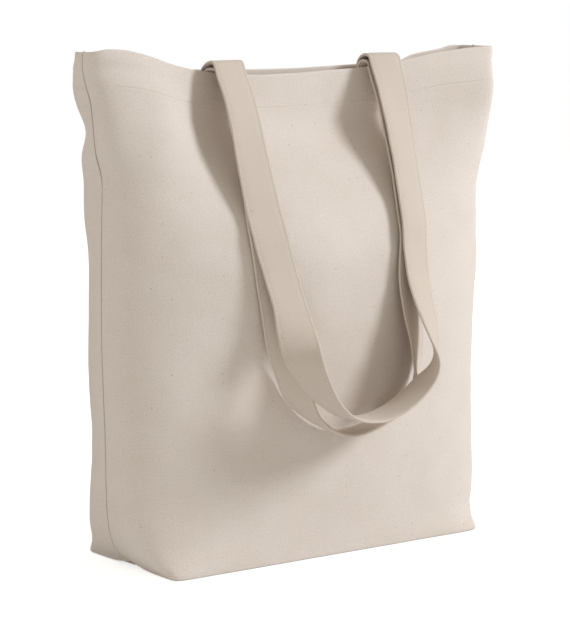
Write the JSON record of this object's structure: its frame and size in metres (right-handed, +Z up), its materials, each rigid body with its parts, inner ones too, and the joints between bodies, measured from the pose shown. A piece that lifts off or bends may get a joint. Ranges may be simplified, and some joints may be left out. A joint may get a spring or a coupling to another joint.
{
  "type": "canvas tote bag",
  "caption": "Canvas tote bag with a boxed base, a hemmed mouth that has almost closed, and long strap handles hanging down over the front.",
  "frame": {"origin": "middle of the base, on the surface the bag stands on", "axes": "+Z up, +X along the bag's width to the right as seen from the front, -Y towards the front, where the handles hang"},
  "size_m": [0.3874, 0.2045, 0.4],
  "materials": {
    "canvas": "unbleached plain-weave cotton canvas with small dark seed flecks",
    "strap": "the same canvas folded into a flat strap",
    "thread": "spun cotton sewing thread"
  },
  "bodies": {
    "bag": {"front_panel": "canvas", "back_panel": "canvas", "left_side_overlock": "thread", "right_side_overlock": "thread", "base_overlock": "thread", "left_corner_allowance": "thread", "right_corner_allowance": "thread", "hem_stitching": "thread", "front_left_handle_end": "strap", "front_right_handle_end": "strap", "back_left_handle_end": "strap", "back_right_handle_end": "strap", "front_left_tack": "thread", "front_right_tack": "thread", "back_left_tack": "thread", "back_right_tack": "thread"},
    "front_handle_loop": {"front_handle": "strap", "front_handle_stitching": "thread"},
    "back_handle_loop": {"back_handle": "strap", "back_handle_stitching": "thread"}
  },
  "joints": [
    {"name": "back_handle_swing", "type": "hinge", "parent": "bag", "child": "back_handle_loop", "pos_m": [0, -0.008, 0.4], "axis": [-1, 0, 0], "range_deg": [0, 160]},
    {"name": "front_handle_swing", "type": "hinge", "parent": "bag", "child": "front_handle_loop", "pos_m": [0, -0.008, 0.4], "axis": [-1, 0, 0], "range_deg": [0, 160]}
  ],
  "couplings": [
    {"joint": "front_handle_swing", "follows": "back_handle_swing", "ratio": 1}
  ]
}
